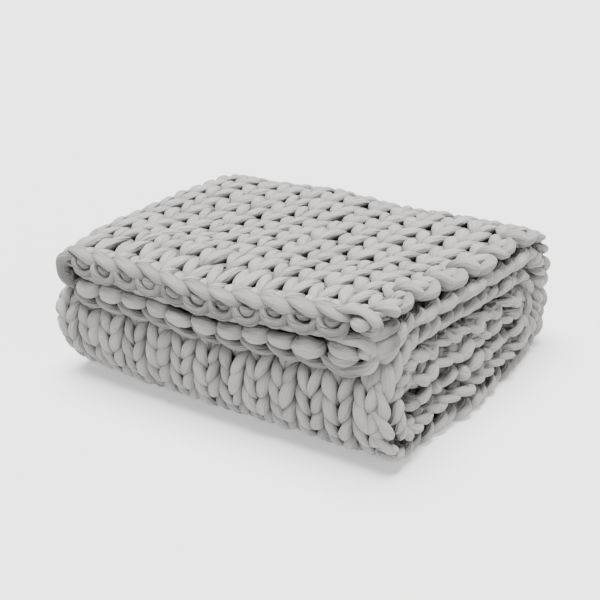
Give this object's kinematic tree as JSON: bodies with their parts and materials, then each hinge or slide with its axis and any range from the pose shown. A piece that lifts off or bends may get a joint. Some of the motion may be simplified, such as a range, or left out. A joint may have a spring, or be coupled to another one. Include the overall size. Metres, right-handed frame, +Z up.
{
  "type": "weighted blanket",
  "caption": "Chunky hand-knitted weighted blanket in light grey tube yarn, folded in half lengthwise and then into a thick stack with its free end over the front.",
  "frame": {"origin": "under the middle of the folded blanket's box, on the surface it lies on", "axes": "+X across the width, from the lengthwise fold to the selvages; +Y from the free end at the front to the back; +Z up"},
  "size_m": [0.5792, 0.5289, 0.223],
  "materials": {
    "knit": "matt light grey cotton jersey tube, stuffed, loosely knitted by hand"
  },
  "bodies": {
    "root": {"blanket": "knit"}
  },
  "joints": []
}
